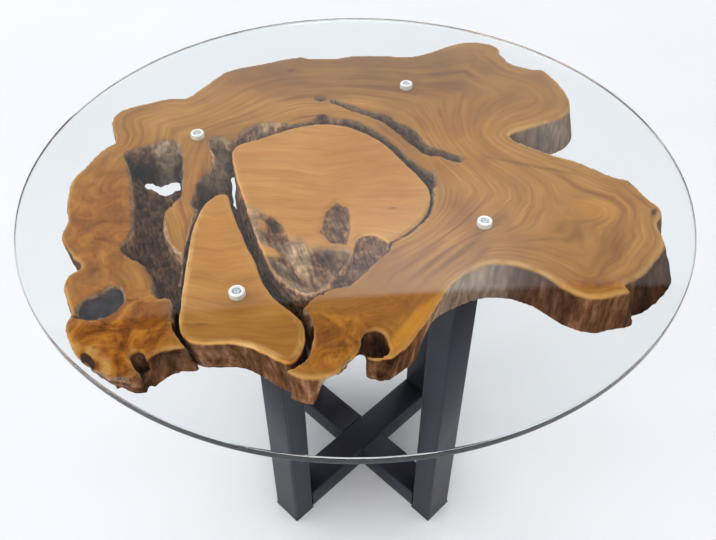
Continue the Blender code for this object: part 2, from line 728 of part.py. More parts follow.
def fasten_frame(woods, rails):
    """Two wood screws up through each arm of the upper cross."""
    hole = FRAME_SCREW_SHANK_RADIUS + HOLE_CLEARANCE
    head = FRAME_TOP - TUBE_WALL - REST_GAP
    far = FRAME_REACH - TUBE_DEPTH - FRAME_SCREW_END_MARGIN
    screw = screw_mesh(
        "frame_screw",
        FRAME_SCREW_SHANK_RADIUS,
        FRAME_SCREW_LENGTH,
        FRAME_SCREW_HEAD_RADIUS,
        FRAME_SCREW_HEAD_HEIGHT,
    )
    for arm, turn, seats in ARMS:
        direction = frame_direction(turn)
        for spot, distance, wood in zip(("near", "far"), (FRAME_SCREW_NEAR, far), seats):
            name = "_".join(("frame_screw", arm, spot))
            place = frame_point(direction, distance, head)
            pin = add_part(name, screw, bright_steel())
            pin.location = place
            tip = head + FRAME_SCREW_LENGTH + HOLE_CLEARANCE
            middle = FRAME_TOP - TUBE_DEPTH / 2
            bottom = FRAME_TOP - TUBE_DEPTH - TUBE_WALL
            shank = cylinder_cutter(name + "_hole", place, middle, tip, hole)
            cut(rails[arm], shank)
            cut(woods[wood], shank)
            driver = cylinder_cutter(
                name + "_access", place, bottom, middle, FRAME_DRIVER_HOLE_RADIUS
            )
            cut(rails[arm], driver)


def strap_screw_offsets():
    """Distances of the screws from the middle of a strap, along it."""
    outer = STRAP_LENGTH / 2 - STRAP_END_MARGIN
    inner = outer - STRAP_SCREW_PITCH
    return (-outer, -inner, inner, outer)


def strap_mesh(name):
    """A flat bar along X with round corners and its screw holes."""
    curve = flat_curve(name, STRAP_THICKNESS / 2)
    add_polygon(curve, rounded_box_points(STRAP_LENGTH, STRAP_WIDTH, STRAP_WIDTH / 6))
    hole = STRAP_SCREW_SHANK_RADIUS + HOLE_CLEARANCE
    for offset in strap_screw_offsets():
        add_polygon(curve, circle_points(offset, 0.0, hole))
    return meshed(add_cutter(name, curve))


def fasten_straps(woods):
    """Straps that tie the sections of root together from below, with their screws."""
    bar = strap_mesh("strap")
    hole = STRAP_SCREW_SHANK_RADIUS + HOLE_CLEARANCE
    top = SLAB_UNDERSIDE - REST_GAP
    seat = top - STRAP_THICKNESS - REST_GAP
    screw = screw_mesh(
        "strap_screw",
        STRAP_SCREW_SHANK_RADIUS,
        STRAP_SCREW_LENGTH,
        STRAP_SCREW_HEAD_RADIUS,
        STRAP_SCREW_HEAD_HEIGHT,
    )
    for name, (x, y), degrees, ties in STRAPS:
        turn = math.radians(degrees)
        along = Vector((math.cos(turn), math.sin(turn), 0.0))
        middle = Vector((x * SLAB_GRID, y * SLAB_GRID, 0.0))
        strap = add_part("strap_" + name, bar, bright_steel())
        strap.location = middle + Vector((0.0, 0.0, top - STRAP_THICKNESS / 2))
        strap.rotation_euler.z = turn
        woods_along = (ties[0], ties[0], ties[1], ties[1])
        for number, (offset, wood) in enumerate(zip(strap_screw_offsets(), woods_along), 1):
            label = "_".join(("strap_screw", name, str(number)))
            place = middle + along * offset
            pin = add_part(label, screw, bright_steel())
            pin.location = place + Vector((0.0, 0.0, seat))
            tip = seat + STRAP_SCREW_LENGTH + HOLE_CLEARANCE
            low = SLAB_UNDERSIDE - SLAB_EDGE
            cut(woods[wood], cylinder_cutter(label + "_pilot", place, low, tip, hole))


clear_scene()
make_glass()
woods_made = make_wood()
make_bumpers(woods_made)
upper_rails = make_frame()
fasten_frame(woods_made, upper_rails)
fasten_straps(woods_made)
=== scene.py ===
"""Look of the table: glass over a slice of tree root, on a crossed frame of black steel."""

import math

import bmesh
import bpy
import numpy as np
from mathutils import Matrix, Vector, noise
from mathutils.kdtree import KDTree


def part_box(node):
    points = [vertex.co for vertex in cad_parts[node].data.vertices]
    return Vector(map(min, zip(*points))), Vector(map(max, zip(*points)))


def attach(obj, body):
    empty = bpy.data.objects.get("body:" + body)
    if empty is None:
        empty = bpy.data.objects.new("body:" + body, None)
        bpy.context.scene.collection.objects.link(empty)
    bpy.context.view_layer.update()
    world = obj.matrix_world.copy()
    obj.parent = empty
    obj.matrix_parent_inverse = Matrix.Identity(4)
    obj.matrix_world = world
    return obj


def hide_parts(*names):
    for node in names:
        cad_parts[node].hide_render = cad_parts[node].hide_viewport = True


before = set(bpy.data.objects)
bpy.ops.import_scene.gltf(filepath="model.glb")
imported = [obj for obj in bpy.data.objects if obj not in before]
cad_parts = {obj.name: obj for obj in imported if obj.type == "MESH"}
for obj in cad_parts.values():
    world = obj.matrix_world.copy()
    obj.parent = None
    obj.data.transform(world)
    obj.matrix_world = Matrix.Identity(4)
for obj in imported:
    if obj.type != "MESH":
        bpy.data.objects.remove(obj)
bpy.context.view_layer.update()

MM = 0.001

# Photograph: width and focal length in pixels, and where it was taken from
PHOTO_WIDTH = 716
PHOTO_FOCAL = 796.9
SENSOR = 36.0
CAMERA_PLACE = (0.0, -0.6364, 0.978)
CAMERA_PITCH = math.radians(44.65)
CAMERA_YAW = math.radians(0.23)

# Wood: spacing of the grid that places on the slab are given in, and mesh sizes
GRID = 0.93 * MM
SLAB_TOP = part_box("root_slab")[1].z
SLAB_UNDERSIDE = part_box("root_slab")[0].z
ROOT_VOXEL = 2.2 * MM
PIECE_VOXEL = 1.7 * MM
LEVEL = 0.4 * MM
UNDERSIDE_THINNING = 0.9
INNER_REACH = 15 * MM
LEAN_REACH = 22 * MM
EDGE_DEPTH = (1.2 * MM, 4.5 * MM)
RING_WIDTH = 180 * MM
EYE_REACH = 48 * MM
EYE_RING = 60 * MM
RING_WANDER = 2.5 * MM
STAIN_HALO = 6.0 * MM
HOLLOW_ROUNDS = 22
FLANK_ROUNDS = 2
BARK_LUMPS = 2.2 * MM
BARK_STRANDS = 1.5 * MM
FLANK_RIDGES = 1.0 * MM
FLANK_LUMPS = 0.9 * MM
PIECE_RIDGES = 0.7 * MM
PIECE_INSET = 0.6 * MM
BARK_DEPTH = 9.0 * MM
# Depth down a hollow at which the bark's painted shade is full
PAINTED_SHADE_DEPTH = 26.0 * MM
BARK_SINK = 3.0 * MM
WORN_SINK = 1.0 * MM
WORN_STRANDS = 0.9 * MM
BARK_BLUR = 4.0 * MM
WORN_BLUR = 5.0 * MM
SLATE_BLUR = 2.0 * MM
ROOT_RIM = (0.5 * MM, 4.0 * MM)
PIECE_RIM = (2.0 * MM, 5.5 * MM)
WOOD_SHINE = 0.08
SWELL_REACH = 4.5 * MM
SWELL_BLUR = 6.0 * MM
SWELL_DEPTH = (18 * MM, 34 * MM)

# Other meshes: steps round turned shapes, the share of the glass that its edge rounds, creases in degrees
WELD_REACH = 0.005 * MM
GLASS_STEPS = 256
GLASS_EDGE = 0.16
EDGE_STEPS = 8
BUMPER_STEPS = 64
WOOD_CREASE = 48
CREASE = 40
STEEL_CREASE = 35

# Light: dim walls to their top edge, a dimmer ceiling, soft boxes on four sides, and a lamp above.
# A soft box is (name, turn in degrees, height, radiance). A rise is height over distance.
WALL_LIGHT_LOW = 0.62
WALL_LIGHT_HIGH = 0.40
BOX_DISTANCE = 8.0
BOX_WIDTH = 15.5
BOX_FOOT = 0.05
SOFT_BOXES = (
    ("front", 0, 5.6, 3.7),
    ("right", 90, 5.6, 2.8),
    ("back", 180, 3.2, 7.4),
    ("left", -90, 5.6, 4.7),
)
CEILING_LIGHT = 0.03
GLOW_LIGHT = 0.85
GLOW_SIDE = 0.12
GLOW_REACH = (0.28, 0.02)
GLOW_FOOT = 0.7
CORNER_BLUR = 0.1
LEFT_DIMMING = 0.7
LEFT_REACH = (-0.45, -0.2)
RIGHT_GAIN = 1.05
WALL_RISE = 1.056
WALL_SLOPE = -0.1
WALL_BEND = 0.09
WALL_BLUR = 0.01
KEY_POWER = 11.0
KEY_SIZE = 2.2
KEY_PLACE = (-0.3, -0.25, 2.7)
KEY_TARGET = (0.0, 0.0, 0.4)
FLOOR_SIZE = 24.0

# The way the rotten wood splits, seen from above
GRAIN_WAY = (0.35, -0.94)

# Marks and painted shade on the wood, on the grid: ovals are (middle, reach, turn in degrees, strength),
# and outlines are rows of corners. An arc is the middle of a piece's growth rings, and the eye is a knot in
# the root.
ROOT_STAINS = (
    ((-82, 230), (9, 5), 20, 0.55),
    ((-40, 127), (9, 6), 0, 0.6),
    ((-233, -247), (13, 5), -50, 0.95),
    ((-200, -262), (9, 5), 0, 0.5),
    ((311, -52), (4, 11), -30, 0.6),
    ((-226, -106), (11, 9), -30, 0.7),
    ((-248, -197), (18, 3), -10, 0.7),
    ((264, -163), (3, 9), 0, 0.8),
    ((300, -4), (9, 5), -45, 0.6),
)
ROOT_BURL = (
    ((-262, -60), (55, 120), 0, 0.6),
    ((-225, -215), (75, 65), 0, 1.0),
    ((-20, -225), (48, 42), 0, 0.75),
    ((40, -190), (50, 32), 45, 0.35),
    ((228, -156), (36, 6), 0, 0.8),
)
ROOT_TONES = (
    ((115, 60), (90, 70), 0, 0.22),
    ((110, -60), (70, 60), 0, 0.15),
    ((-190, 20), (30, 110), 0, 0.3),
)
ROOT_SHADES = (
    ((30, 235), (210, 70), 0, 0.5),
    ((104, -112), (36, 4), 47, 0.75),
    ((118, -122), (30, 3), 50, 0.6),
    ((84, -118), (24, 3), 44, 0.55),
    ((140, -70), (30, 4), 40, 0.5),
    ((199, 27), (58, 3), -19, 0.7),
    ((-258, -85), (7, 28), 0, 0.7),
    ((-250, -131), (13, 7), 0, 0.7),
    ((-275, -20), (12, 4), 10, 0.6),
)
ROOT_SIDE_TONES = (
    ((-40, -250), (90, 40), 0, 0.55),
    ((-200, -250), (50, 40), 0, 0.55),
    ((60, -200), (60, 60), 0, 0.6),
    ((-205, -268), (28, 12), 0, 0.9),
    ((215, -180), (55, 24), 0, 0.3),
    ((0, 0), (900, 900), 0, 0.1),
)
# Painted shade on the root's sides: darker in the toe hole and near it, and on the shaded right lobe
ROOT_SIDE_PAINTED_SHADE = (
    ((-191, -244), (9, 9), 0, 0.75),
    ((-165, -236), (18, 12), 0, 0.45),
    ((290, -115), (42, 52), 0, 0.3),
)
HOLLOW_LIGHTS = (
    ((-222, 72), (18, 9), -10, 0.6),
    ((-228, 28), (22, 16), 0, 0.35),
    ((-181, -72), (15, 42), 10, 1.6),
    ((-158, 60), (12, 26), 0, 1.3),
    ((-110, 106), (26, 8), 30, 0.9),
)
# Painted shade in the hollows: under the overhang at the top of the band, in the crevices and back cracks
# round the core, and in other dark pockets
HOLLOW_PAINTED_SHADE = (
    ((-247, 54), (17, 9), 30, 0.9),
    ((-206, 60), (9, 7), 0, 0.85),
    ((-160, -5), (16, 20), 0, 0.6),
    ((-228, -102), (9, 9), 0, 0.7),
    ((55, 85), (75, 75), 0, 0.45),
)
ROOT_RIMS = (
    ((205, 75), (80, 55), 0, 0.7),
    ((130, -150), (130, 60), 0, 0.5),
    ((250, -165), (60, 30), 0, 0.4),
    ((0, 0), (900, 900), 0, 0.32),
)
ROOT_SAP = (
    ((-252, -229), (13, 7), -45, 0.35),
    ((-226, -240), (16, 5), -35, 0.4),
    ((-216, -255), (5, 12), 20, 0.5),
)
ROOT_GOLD = (
    ((52, -206), (48, 8), 54, 0.7),
    ((-150, -20), (40, 8), 80, 0.3),
    ((250, -45), (30, 18), 0, 0.3),
)
ROOT_CALM = (
    ((165, 150), (95, 85), 0, 0.7),
    ((-185, 130), (70, 50), 0, 0.45),
    ((230, -60), (60, 50), 0, 0.4),
)
ROOT_PALE = (
    ((105, -150), (60, 32), 30, 0.4),
    ((-18, -258), (14, 9), 30, 1.0),
    ((240, 110), (60, 30), 20, 0.4),
)
PALE_BARK = (
    ((-234, 80), (-215, 82), (-201, 66), (-213, 50), (-221, 44), (-229, 56)),
    (
        (-172, 82), (-160, 90), (-150, 80), (-147, 40), (-150, 12), (-174, 0), (-166, 20), (-158, 40),
        (-162, 60),
    ),
    ((-134, 78), (-120, 108), (-104, 114), (-96, 100), (-112, 84)),
)
LEFT_HOLLOW = (
    (-262, -186), (-252, -172), (-244, -167), (-236, -160), (-231, -154), (-222, -156), (-216, -166),
    (-214, -174), (-219, -187), (-228, -198), (-240, -201), (-252, -198),
)
CORE_BARK = (
    (
        (-20, -33), (-8, -42), (-6, -60), (-6, -80), (-9, -98), (-24, -97), (-36, -80), (-32, -62),
        (-31, -48), (-26, -40),
    ),
    (
        (-98, -50), (-88, -57), (-78, -68), (-70, -82), (-67, -92), (-74, -97), (-86, -98), (-92, -86),
        (-92, -70), (-101, -60),
    ),
    (
        (-46, -113), (-35, -107), (-20, -113), (-8, -112), (-4, -124), (-12, -140), (-22, -151),
        (-33, -152), (-37, -166), (-44, -152), (-42, -130),
    ),
    (
        (-80, -110), (-70, -118), (-60, -130), (-50, -146), (-44, -158), (-50, -158), (-58, -142),
        (-68, -128), (-80, -116),
    ),
)
CORE_WORN = (
    (
        (-116, -38), (-100, -48), (-90, -60), (-68, -92), (-55, -88), (-45, -104), (-10, -104), (0, -112),
        (-8, -145), (-30, -162), (-43, -170), (-60, -165), (-84, -134), (-98, -100), (-108, -70),
    ),
)
CORE_LIGHTS = (
    ((-55, -109), (13, 24), -10, 0.75),
    ((-50, -136), (9, 14), 0, 0.6),
    ((-108, -46), (9, 10), 0, 0.5),
)
CORE_SHADES = (
    ((-80, -68), (11, 13), 30, 0.6),
    ((-83, -138), (12, 17), 20, 0.6),
    ((-27, -118), (11, 15), 0, 0.45),
    ((17, -92), (18, 11), 25, 0.55),
    ((-6, -126), (9, 22), -35, 0.5),
    ((-58, -145), (5, 13), 40, 0.7),
    ((-18, -66), (14, 17), 0, 0.25),
)
CORE_SOUND = (
    ((-87, -108), (15, 6), -35, 1.3),
    ((-96, -69), (5, 12), 20, 0.8),
)
CORE_SWELL = ((-140, 24), (-118, 24), (-80, -112), (-98, -116))
CORE_STAINS = (((38, -45), (6, 4), 20, 0.5),)
CORE_RIMS = (((0, 0), (900, 900), 0, 0.15),)
CORE_ARC = (-30, -330)
WEDGE_ARC = (-130, -800)
WEDGE_STAINS = (((-140, -205), (9, 3), 0, 0.4),)
WEDGE_RIMS = (
    ((-168, -130), (14, 110), 0, 0.8),
    ((-100, -236), (75, 18), 10, 0.8),
    ((0, 0), (900, 900), 0, 0.15),
)
# Painted shade: the tops of the core and wedge darker towards the front, where less light falls
FRONT_PAINTED_SHADE = (((-110, -225), (110, 60), 0, 1.0),)
EYE = (238, -50)


def new_node(tree, kind, inputs=None, **settings):
    """A shader node. An input is a value, or a socket to link."""
    made = tree.nodes.new(kind)
    for name, value in settings.items():
        setattr(made, name, value)
    for key, value in (inputs or {}).items():
        if isinstance(value, bpy.types.NodeSocket):
            tree.links.new(value, made.inputs[key])
        else:
            made.inputs[key].default_value = value
    return made


def calc(tree, operation, first, second=0.0, third=0.0, clamp=False):
    """One step of arithmetic."""
    made = new_node(
        tree,
        "ShaderNodeMath",
        {0: first, 1: second, 2: third},
        operation=operation,
        use_clamp=clamp,
    )
    return made.outputs[0]


def fade(tree, value, low, high, out_low=0.0, out_high=1.0):
    """A smooth change of a value from one range to another."""
    made = new_node(
        tree,
        "ShaderNodeMapRange",
        {0: value, 1: low, 2: high, 3: out_low, 4: out_high},
        interpolation_type="SMOOTHSTEP",
    )
    return made.outputs[0]


def mixed(tree, factor, first, second, blend="MIX"):
    """Two colours mixed."""
    made = new_node(tree, "ShaderNodeMix", data_type="RGBA", blend_type=blend, clamp_factor=True)
    for index, value in ((0, factor), (6, first), (7, second)):
        if isinstance(value, bpy.types.NodeSocket):
            tree.links.new(value, made.inputs[index])
        elif index:
            made.inputs[index].default_value = (*value, 1.0)
        else:
            made.inputs[index].default_value = value
    return made.outputs[2]


def ramp(tree, factor, stops):
    """A colour looked up along a row of stops."""
    made = new_node(tree, "ShaderNodeValToRGB", {0: factor})
    points = made.color_ramp.elements
    while len(points) < len(stops):
        points.new(0.5)
    for point, (place, colour) in zip(points, stops):
        point.position = place
        point.color = (*colour, 1.0)
    return made.outputs[0]


def cloud(tree, vector, scale, detail=4.0, rough=0.55, distort=0.0):
    """Noise between 0 and 1."""
    made = new_node(
        tree,
        "ShaderNodeTexNoise",
        {"Scale": scale, "Detail": detail, "Roughness": rough, "Distortion": distort},
    )
    tree.links.new(vector, made.inputs["Vector"])
    return made.outputs[0]


def held(tree, name):
    """A value that the mesh holds at each point."""
    return new_node(tree, "ShaderNodeAttribute", attribute_name=name).outputs["Fac"]


def new_material(name):
    """A material with its tree, its shader and the object's own coordinates."""
    made = bpy.data.materials.new(name)
    made.use_nodes = True
    tree = made.node_tree
    shader = tree.nodes["Principled BSDF"]
    place = new_node(tree, "ShaderNodeTexCoord").outputs["Object"]
    return made, tree, shader, place


def bumped(tree, shader, height, strength, distance):
    """Fine relief on a shader."""
    made = new_node(
        tree,
        "ShaderNodeBump",
        {"Strength": strength, "Distance": distance, "Height": height},
    )
    tree.links.new(made.outputs[0], shader.inputs["Normal"])


def stretched(tree, first, second, third, scales):
    """Coordinates for a texture, each with its own scale."""
    parts = [calc(tree, "MULTIPLY", part, scale) for part, scale in zip((first, second, third), scales)]
    return new_node(tree, "ShaderNodeCombineXYZ", {0: parts[0], 1: parts[1], 2: parts[2]}).outputs[0]


def along(tree, place, direction):
    """Distance along a direction."""
    made = new_node(tree, "ShaderNodeVectorMath", {0: place, 1: direction}, operation="DOT_PRODUCT")
    return made.outputs["Value"]


def scaled(tree, colour, factor):
    """A colour made brighter or darker."""
    made = new_node(tree, "ShaderNodeVectorMath", {0: colour, "Scale": factor}, operation="SCALE")
    return made.outputs[0]


def polished_wood(tree, place, dark, middle, light, streak, figure):
    """Colour of the polished face, and the fine lines in it."""
    axes = new_node(tree, "ShaderNodeSeparateXYZ", {0: place})
    ring = held(tree, "ring")
    x, y = axes.outputs[0], axes.outputs[1]
    wide = stretched(tree, ring, x, y, (95.0, 7.0, 7.0))
    bands = cloud(tree, wide, 1.0, 5.0, 0.6)
    lines = cloud(tree, stretched(tree, ring, x, y, (520.0, 26.0, 26.0)), 1.0, 3.0, 0.6)
    patches = cloud(tree, place, 11.0, 4.0, 0.6)
    plain = calc(tree, "MULTIPLY", patches, 0.9 - 0.5 * figure)
    grain = calc(tree, "MULTIPLY_ADD", bands, 0.5 * figure, plain)
    grain = calc(tree, "MULTIPLY_ADD", lines, 0.10, grain)
    wood = ramp(tree, grain, ((0.36, dark), (0.5, middle), (0.66, light)))
    stripes = fade(tree, cloud(tree, wide, 0.8, 3.0, 0.5), 0.58, 0.7)
    lively = calc(tree, "SUBTRACT", 1.0, held(tree, "calm"))
    stripes = calc(tree, "MULTIPLY", stripes, lively)
    wood = mixed(tree, calc(tree, "MULTIPLY", stripes, 0.75 * figure), wood, streak)
    narrow = stretched(tree, ring, x, y, (230.0, 11.0, 11.0))
    veins = fade(tree, cloud(tree, narrow, 1.0, 3.0, 0.5), 0.54, 0.66)
    veins = calc(tree, "MULTIPLY", veins, lively)
    wood = mixed(tree, calc(tree, "MULTIPLY", veins, 0.5 * figure), wood, streak)
    drift = fade(tree, cloud(tree, place, 7.5, 3.0, 0.55, 0.6), 0.5, 0.66)
    wood = mixed(tree, calc(tree, "MULTIPLY", drift, 0.45), wood, streak)
    wood = scaled(tree, wood, fade(tree, lines, 0.3, 0.65, 1.0 - 0.14 * figure, 1.05))
    return scaled(tree, wood, calc(tree, "MULTIPLY_ADD", held(tree, "tone"), 0.5, 1.0)), lines, patches


def burl_wood(tree, place):
    """Colour of the reddish, speckled parts."""
    specks = fade(tree, cloud(tree, place, 170.0, 3.0, 0.7), 0.58, 0.7)
    wood = ramp(
        tree,
        cloud(tree, place, 40.0, 5.0, 0.68, 1.0),
        ((0.34, (0.075, 0.018, 0.002)), (0.5, (0.23, 0.067, 0.005)), (0.66, (0.36, 0.155, 0.017))),
    )
    return mixed(tree, calc(tree, "MULTIPLY", specks, 0.6), wood, (0.035, 0.013, 0.005))


def flank_wood(tree, place, patches):
    """Colour of the natural sides, and their upright fibres."""
    tall = new_node(tree, "ShaderNodeMapping", {"Vector": place, "Scale": (1.0, 1.0, 0.2)}).outputs[0]
    fibres = cloud(tree, tall, 170.0, 5.0, 0.66)
    tone = calc(tree, "MULTIPLY_ADD", fibres, 0.6, calc(tree, "MULTIPLY", patches, 0.4))
    flank = ramp(
        tree,
        tone,
        ((0.36, (0.010, 0.004, 0.0015)), (0.5, (0.050, 0.021, 0.009)), (0.66, (0.115, 0.058, 0.034))),
    )
    posts = new_node(tree, "ShaderNodeMapping", {"Vector": place, "Scale": (1.0, 1.0, 0.05)}).outputs[0]
    flank = scaled(tree, flank, fade(tree, cloud(tree, posts, 55.0, 2.0, 0.5), 0.35, 0.65, 0.65, 1.35))
    # The tone attribute also carries painted shade on the root's sides and painted light on the core's
    # sides
    flank = scaled(tree, flank, calc(tree, "MULTIPLY_ADD", held(tree, "tone"), 2.0, 1.0))
    grey = ramp(tree, fibres, ((0.3, (0.12, 0.075, 0.050)), (0.7, (0.42, 0.34, 0.26))))
    return mixed(tree, held(tree, "pale"), flank, grey), fibres


def bark_crust(tree, place):
    """Colour of the bark that lines the hollows, with painted shade deeper down, and its relief."""
    height = new_node(tree, "ShaderNodeSeparateXYZ", {0: place}).outputs[2]
    across = along(tree, place, (-GRAIN_WAY[1], GRAIN_WAY[0], 0.0))
    splits = cloud(
        tree,
        stretched(tree, across, along(tree, place, (*GRAIN_WAY, 0.0)), height, (330.0, 48.0, 160.0)),
        1.0,
        5.0,
        0.65,
        0.4,
    )
    flakes = cloud(tree, place, 105.0, 6.0, 0.72, 0.5)
    crust = calc(tree, "MULTIPLY_ADD", splits, 0.45, calc(tree, "MULTIPLY", flakes, 0.55))
    bark = ramp(
        tree,
        crust,
        (
            (0.36, (0.012, 0.006, 0.005)),
            (0.47, (0.080, 0.038, 0.022)),
            (0.57, (0.22, 0.115, 0.058)),
            (0.68, (0.42, 0.26, 0.14)),
        ),
    )
    grey = ramp(tree, crust, ((0.38, (0.085, 0.058, 0.036)), (0.62, (0.30, 0.215, 0.135))))
    bark = mixed(tree, held(tree, "pale"), bark, grey)
    # tone: the bark's own lighter and darker patches, with painted shade in the hollows and painted light
    # on the core's sides
    bark = scaled(tree, bark, calc(tree, "ADD", held(tree, "tone"), 1.0))
    # Painted shade: the bark darker the deeper it lies in a hollow
    return scaled(tree, bark, fade(tree, held(tree, "deep"), 0.3, 1.0, 1.2, 0.75)), crust


def wood_material(name, dark, middle, light, streak, figure):
    """Root wood: a polished face with a pale rim, natural sides, and bark in the hollows."""
    made, tree, shader, place = new_material(name)
    wood, lines, patches = polished_wood(tree, place, dark, middle, light, streak, figure)
    wood = mixed(tree, held(tree, "burl"), wood, burl_wood(tree, place))
    bark, crust = bark_crust(tree, place)
    rim = calc(tree, "MULTIPLY", held(tree, "sap"), fade(tree, cloud(tree, place, 60.0), 0.25, 0.6))
    wood = mixed(tree, rim, wood, (0.50, 0.31, 0.115))
    gold = calc(tree, "MULTIPLY", held(tree, "gold"), fade(tree, lines, 0.3, 0.6, 0.55, 1.0))
    wood = mixed(tree, gold, wood, (0.47, 0.195, 0.020))
    worn = ramp(
        tree,
        crust,
        ((0.38, (0.055, 0.032, 0.022)), (0.5, (0.17, 0.105, 0.062)), (0.62, (0.32, 0.215, 0.125))),
    )
    worn = scaled(tree, worn, calc(tree, "ADD", held(tree, "tone"), 1.0))
    wood = mixed(tree, held(tree, "worn"), wood, worn)
    flank, fibres = flank_wood(tree, place, patches)
    wood = mixed(tree, held(tree, "side"), wood, flank)
    stain = calc(tree, "MULTIPLY_ADD", cloud(tree, place, 120.0), 0.6, held(tree, "stain"))
    wood = mixed(tree, fade(tree, stain, 0.6, 1.0), wood, (0.030, 0.015, 0.010))
    ragged = calc(tree, "SUBTRACT", cloud(tree, place, 60.0, 6.0, 0.7), 0.5)
    edge = calc(tree, "MULTIPLY_ADD", ragged, 0.9, held(tree, "bark"))
    edge = calc(tree, "MULTIPLY_ADD", calc(tree, "SUBTRACT", crust, 0.5), 1.3, edge)
    rotten = fade(tree, edge, 0.42, 0.56)
    slate = ramp(
        tree,
        cloud(tree, place, 45.0),
        ((0.35, (0.028, 0.026, 0.028)), (0.65, (0.090, 0.088, 0.096))),
    )
    bark = mixed(tree, held(tree, "slate"), bark, slate)
    tree.links.new(mixed(tree, rotten, wood, bark), shader.inputs["Base Color"])
    rough = calc(tree, "MULTIPLY_ADD", lines, 0.15, 0.42)
    rough = calc(tree, "MAXIMUM", rough, calc(tree, "MULTIPLY", rotten, 0.9))
    rough = calc(tree, "MAXIMUM", rough, calc(tree, "MULTIPLY", held(tree, "side"), 0.75))
    tree.links.new(rough, shader.inputs["Roughness"])
    dull = calc(tree, "MAXIMUM", held(tree, "side"), calc(tree, "MULTIPLY", rotten, 0.6))
    shine = calc(tree, "MULTIPLY_ADD", dull, -WOOD_SHINE, WOOD_SHINE)
    tree.links.new(shine, shader.inputs["Specular IOR Level"])
    relief = calc(tree, "MULTIPLY_ADD", lines, 0.08, calc(tree, "MULTIPLY", rotten, crust))
    relief = calc(tree, "MULTIPLY_ADD", held(tree, "side"), fibres, relief)
    relief = calc(tree, "MULTIPLY_ADD", held(tree, "worn"), calc(tree, "MULTIPLY", crust, 0.5), relief)
    bumped(tree, shader, relief, 0.6, 2.0 * MM)
    return made


def coat_material(name, dark, light, rough, relief, metallic=0.0, shine=0.5):
    """An opaque finish with a fine grain."""
    made, tree, shader, place = new_material(name)
    grit = cloud(tree, place, 900.0, 2.0, 0.5)
    tone = cloud(tree, place, 24.0, 3.0, 0.6)
    mixed_tone = calc(tree, "MULTIPLY_ADD", grit, 0.4, calc(tree, "MULTIPLY", tone, 0.6))
    tree.links.new(ramp(tree, mixed_tone, ((0.3, dark), (0.7, light))), shader.inputs["Base Color"])
    tree.links.new(calc(tree, "MULTIPLY_ADD", grit, 0.14, rough), shader.inputs["Roughness"])
    shader.inputs["Metallic"].default_value = metallic
    shader.inputs["Specular IOR Level"].default_value = shine
    bumped(tree, shader, grit, 0.25, relief)
    return made


def clear_material(name, dark, light, rough, index, amount=1.0):
    """A clear solid with a faint uneven tint."""
    made, tree, shader, place = new_material(name)
    tint = cloud(tree, place, 14.0, 2.0, 0.5)
    tree.links.new(ramp(tree, tint, ((0.35, dark), (0.65, light))), shader.inputs["Base Color"])
    shader.inputs["Roughness"].default_value = rough
    shader.inputs["IOR"].default_value = index
    shader.inputs["Transmission Weight"].default_value = amount
    return made


def floor_material():
    """A plain pale floor."""
    made, tree, shader, place = new_material("pale_floor")
    tone = cloud(tree, place, 3.0, 2.0, 0.5)
    shades = ((0.3, (0.70, 0.708, 0.725)), (0.7, (0.725, 0.73, 0.745)))
    tree.links.new(ramp(tree, tone, shades), shader.inputs["Base Color"])
    shader.inputs["Roughness"].default_value = 0.6
    shader.inputs["Specular IOR Level"].default_value = 0.2
    return made


def add_object(name, mesh, *looks):
    """A mesh object with its materials."""
    item = bpy.data.objects.new(name, mesh)
    bpy.context.scene.collection.objects.link(item)
    mesh.materials.clear()
    for look in looks:
        mesh.materials.append(look)
    return item


def settle(item, body, slot, *nodes):
    """Puts a piece on its body in place of CAD nodes."""
    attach(item, body)
    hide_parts(*nodes)
    return item


def weld(mesh):
    """Joins the points of a mesh that share a place."""
    shape = bmesh.new()
    shape.from_mesh(mesh)
    bmesh.ops.remove_doubles(shape, verts=shape.verts, dist=WELD_REACH)
    shape.to_mesh(mesh)
    shape.free()


def welded(node):
    """A copy of a CAD node's mesh with its points joined."""
    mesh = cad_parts[node].data.copy()
    weld(mesh)
    return mesh


def soften(mesh, degrees):
    """Smooth shading across edges flatter than an angle."""
    mesh.shade_smooth()
    mesh.set_sharp_from_angle(angle=math.radians(degrees))


def points_of(mesh):
    """All points of a mesh."""
    flat = np.empty(len(mesh.vertices) * 3, np.float32)
    mesh.vertices.foreach_get("co", flat)
    return flat.reshape(-1, 3).astype(float)


def level_loops(mesh, height):
    """The edge loops round the level faces at a height, longest first, as rows of plan points."""
    mesh.calc_loop_triangles()
    places = points_of(mesh)
    uses = {}
    for triangle in mesh.loop_triangles:
        corners = list(triangle.vertices)
        if np.abs(places[corners, 2] - height).max() > 0.05 * MM:
            continue
        for first, second in zip(corners, corners[1:] + corners[:1]):
            uses.setdefault(frozenset((first, second)), []).append((first, second))
    following = {pairs[0][0]: pairs[0][1] for pairs in uses.values() if len(pairs) == 1}
    loops = []
    while following:
        start, here = following.popitem()
        loop = [start]
        while here in following:
            loop.append(here)
            here = following.pop(here)
        loops.append(sampled(places[loop, :2]))
    return sorted(loops, key=len, reverse=True)


def sampled(corners):
    """Points about a millimetre apart along a closed outline."""
    rows = []
    for first, second in zip(corners, np.roll(corners, -1, axis=0)):
        count = max(1, int(np.linalg.norm(second - first) / MM))
        steps = np.arange(count)[:, None] / count
        rows.append(first + (second - first) * steps)
    return np.concatenate(rows)


def nearest(places, targets):
    """Plan distance from each place to the nearest target."""
    tree = KDTree(len(targets))
    for index, (x, y) in enumerate(targets):
        tree.insert((x, y, 0.0), index)
    tree.balance()
    return np.array([tree.find((x, y, 0.0))[2] for x, y in places[:, :2]])


def rough_field(places, scale, octaves=4):
    """Fractal noise at each place, about -1 to 1."""
    return np.array([noise.fractal(Vector(place), 1.0, 2.0, octaves) for place in places * scale])


